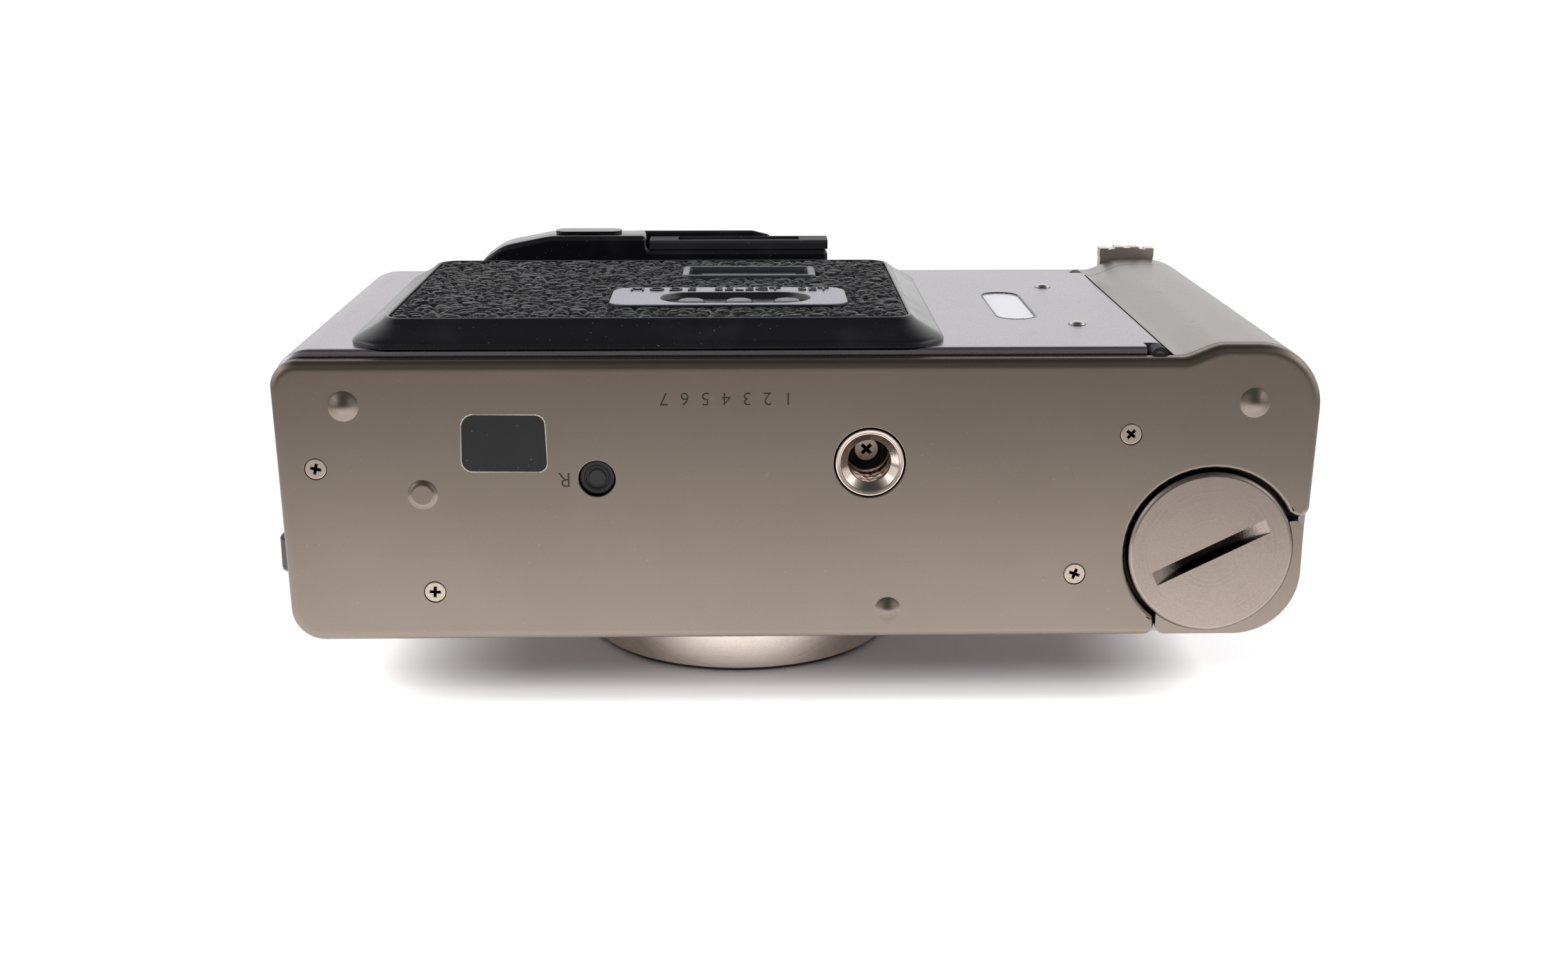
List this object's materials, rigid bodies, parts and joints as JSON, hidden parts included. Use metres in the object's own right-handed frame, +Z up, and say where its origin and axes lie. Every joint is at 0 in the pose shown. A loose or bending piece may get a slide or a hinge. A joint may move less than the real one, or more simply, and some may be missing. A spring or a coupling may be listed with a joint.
{
  "type": "compact film camera",
  "caption": "Compact 35 mm film camera with a pressed metal body, extending lens, hinged back door with a date back, battery cap, rewind button and tripod socket.",
  "frame": {"origin": "centre of the camera's footprint, on the surface it stands on with its feet", "axes": "+X towards the user's left, -Y the way the lens looks, +Z up"},
  "size_m": [0.1282, 0.05, 0.0707],
  "materials": {
    "titanium": "satin, warm grey, very fine bead-blast grain",
    "titanium_bright": "fine turned satin, warm silver",
    "cap_metal": "brushed warm grey metal",
    "nickel": "polished nickel with a warm tint",
    "steel": "plain machined steel",
    "black_gloss": "glossy black moulding",
    "black_matte": "matt black moulding",
    "black_rubber": "soft matt black",
    "chassis_plastic": "glass-filled black plastic",
    "leather": "coarse pebbled black leather",
    "grey_plastic": "satin dark grey moulding",
    "clear_glass": "clear moulded window",
    "smoke_glass": "smoked window",
    "lens_glass": "coated optical glass",
    "foam": "black light-seal foam",
    "blade_black": "blackened spring steel",
    "board_green": "green circuit board",
    "cell_wrap": "printed shrink sleeve over a steel can",
    "lamp_red": "red lamp cover",
    "display_grey": "grey liquid-crystal display behind a window"
  },
  "bodies": {
    "camera_body": {"bottom_plate": "titanium", "bottom_screws": "nickel", "tripod_socket": "nickel", "front_cover": "titanium", "top_cover": "titanium", "finder_block": "black_gloss", "eyepiece_frame": "black_rubber", "eyepiece_glass": "smoke_glass", "hinge_pin": "steel", "strap_lugs": "titanium", "chassis": "chassis_plastic", "cassette_chamber": "chassis_plastic", "battery_housing": "chassis_plastic", "gate_plate": "blade_black", "light_seals": "foam", "winding_motor": "steel", "battery": "cell_wrap", "lens_mount": "titanium_bright", "mount_ring": "black_gloss", "timer_lamp": "lamp_red", "flash_reflector": "nickel", "finder_tunnel": "chassis_plastic", "circuit_board": "board_green", "roof_display": "display_grey", "finder_window": "clear_glass", "focus_window": "smoke_glass", "flash_window": "clear_glass"},
    "door": {"back_door": "titanium", "film_window": "clear_glass", "door_rivets": "nickel", "pressure_plate": "black_matte", "door_springs": "steel", "date_frame": "black_gloss", "leather_insert": "leather", "display_bezel": "black_gloss", "display_glass": "smoke_glass", "button_pad": "grey_plastic"},
    "mode_key": {"mode_key": "black_rubber"},
    "select_key": {"select_key": "black_rubber"},
    "set_key": {"set_key": "black_rubber"},
    "dioptre_slider": {"dioptre_slider": "black_gloss"},
    "door_release": {"door_release": "black_gloss"},
    "take_up_spool": {"take_up_spool": "black_matte"},
    "film_sprocket": {"film_sprocket": "black_matte"},
    "rewind_fork": {"rewind_fork": "black_matte"},
    "cap_contact": {"cap_contact": "nickel"},
    "battery_cap": {"battery_cap": "cap_metal"},
    "rewind_button": {"rewind_button": "black_matte"},
    "barrel": {"lens_barrel": "black_matte", "front_bezel": "black_matte", "front_element": "lens_glass", "shutter_housing": "black_matte", "rear_element": "lens_glass"},
    "cover_blade_upper": {"cover_blade_upper": "blade_black"},
    "cover_blade_lower": {"cover_blade_lower": "blade_black"},
    "shutter_blade_upper": {"shutter_blade_upper": "blade_black"},
    "shutter_blade_lower": {"shutter_blade_lower": "blade_black"},
    "selector_ring": {"selector_ring": "titanium"},
    "shutter_button": {"shutter_button": "titanium_bright"},
    "flash_key": {"flash_key": "black_gloss"}
  },
  "joints": [
    {"name": "door_hinge", "type": "hinge", "parent": "camera_body", "child": "door", "pos_m": [-0.0427, 0.01847, 0.0308], "axis": [0, 0, 1], "range_deg": [0, 105]},
    {"name": "mode_press", "type": "slide", "parent": "door", "child": "mode_key", "axis": [0, -1, 0], "range_m": [0, 0.0004], "stiffness_N_per_m": 3000},
    {"name": "select_press", "type": "slide", "parent": "door", "child": "select_key", "axis": [0, -1, 0], "range_m": [0, 0.0004], "stiffness_N_per_m": 3000},
    {"name": "set_press", "type": "slide", "parent": "door", "child": "set_key", "axis": [0, -1, 0], "range_m": [0, 0.0004], "stiffness_N_per_m": 3000},
    {"name": "dioptre_slide", "type": "slide", "parent": "camera_body", "child": "dioptre_slider", "axis": [1, 0, 0], "range_m": [-0.0015, 0.0015]},
    {"name": "release_slide", "type": "slide", "parent": "camera_body", "child": "door_release", "axis": [0, 0, -1], "range_m": [0, 0.004], "stiffness_N_per_m": 400},
    {"name": "spool_spin", "type": "hinge", "parent": "camera_body", "child": "take_up_spool", "pos_m": [0.0476, 0.00178, 0.0298], "axis": [0, 0, 1], "continuous": true},
    {"name": "sprocket_spin", "type": "hinge", "parent": "camera_body", "child": "film_sprocket", "pos_m": [0.0332, 0.00788, 0.0298], "axis": [0, 0, 1], "continuous": true},
    {"name": "fork_spin", "type": "hinge", "parent": "camera_body", "child": "rewind_fork", "pos_m": [-0.0272, 0.00178, 0.0058], "axis": [0, 0, 1], "continuous": true},
    {"name": "cap_lift", "type": "slide", "parent": "camera_body", "child": "cap_contact", "axis": [0, 0, -1], "range_m": [0, 0.00225]},
    {"name": "cap_turn", "type": "hinge", "parent": "cap_contact", "child": "battery_cap", "pos_m": [-0.0497, -0.00528, 0.0008], "axis": [0, 0, -1], "range_deg": [0, 1080]},
    {"name": "rewind_press", "type": "slide", "parent": "camera_body", "child": "rewind_button", "axis": [0, 0, 1], "range_m": [0, 0.0006], "stiffness_N_per_m": 1666.7},
    {"name": "barrel_slide", "type": "slide", "parent": "camera_body", "child": "barrel", "axis": [0, -1, 0], "range_m": [0, 0.013]},
    {"name": "cover_upper_swing", "type": "hinge", "parent": "barrel", "child": "cover_blade_upper", "pos_m": [-0.00625, -0.02243, 0.0328], "axis": [0, -1, 0], "range_deg": [0, 36]},
    {"name": "cover_lower_swing", "type": "hinge", "parent": "barrel", "child": "cover_blade_lower", "pos_m": [0.02075, -0.02243, 0.0328], "axis": [0, -1, 0], "range_deg": [0, 36]},
    {"name": "shutter_upper_swing", "type": "hinge", "parent": "barrel", "child": "shutter_blade_upper", "pos_m": [-0.00195, -0.01043, 0.0328], "axis": [0, -1, 0], "range_deg": [0, 36], "stiffness_Nm_per_rad": 0.0002},
    {"name": "shutter_lower_swing", "type": "hinge", "parent": "barrel", "child": "shutter_blade_lower", "pos_m": [0.01645, -0.01043, 0.0328], "axis": [0, -1, 0], "range_deg": [0, 36]},
    {"name": "selector_turn", "type": "hinge", "parent": "camera_body", "child": "selector_ring", "pos_m": [-0.0518, 0.00788, 0.0688], "axis": [0, 0, -1], "range_deg": [0, 70]},
    {"name": "shutter_press", "type": "slide", "parent": "camera_body", "child": "shutter_button", "axis": [0, 0, -1], "range_m": [0, 0.0012], "stiffness_N_per_m": 1666.7},
    {"name": "flash_press", "type": "slide", "parent": "camera_body", "child": "flash_key", "axis": [0, 0, -1], "range_m": [0, 0.0005], "stiffness_N_per_m": 2000}
  ],
  "couplings": [
    {"joint": "cap_turn", "follows": "cap_lift", "rad_per_m": 8376.7},
    {"joint": "cover_upper_swing", "follows": "barrel_slide", "rad_per_m": 48.327},
    {"joint": "cover_lower_swing", "follows": "barrel_slide", "rad_per_m": 48.327},
    {"joint": "shutter_lower_swing", "follows": "shutter_upper_swing", "ratio": 1},
    {"joint": "sprocket_spin", "follows": "spool_spin", "ratio": 1.3793}
  ]
}
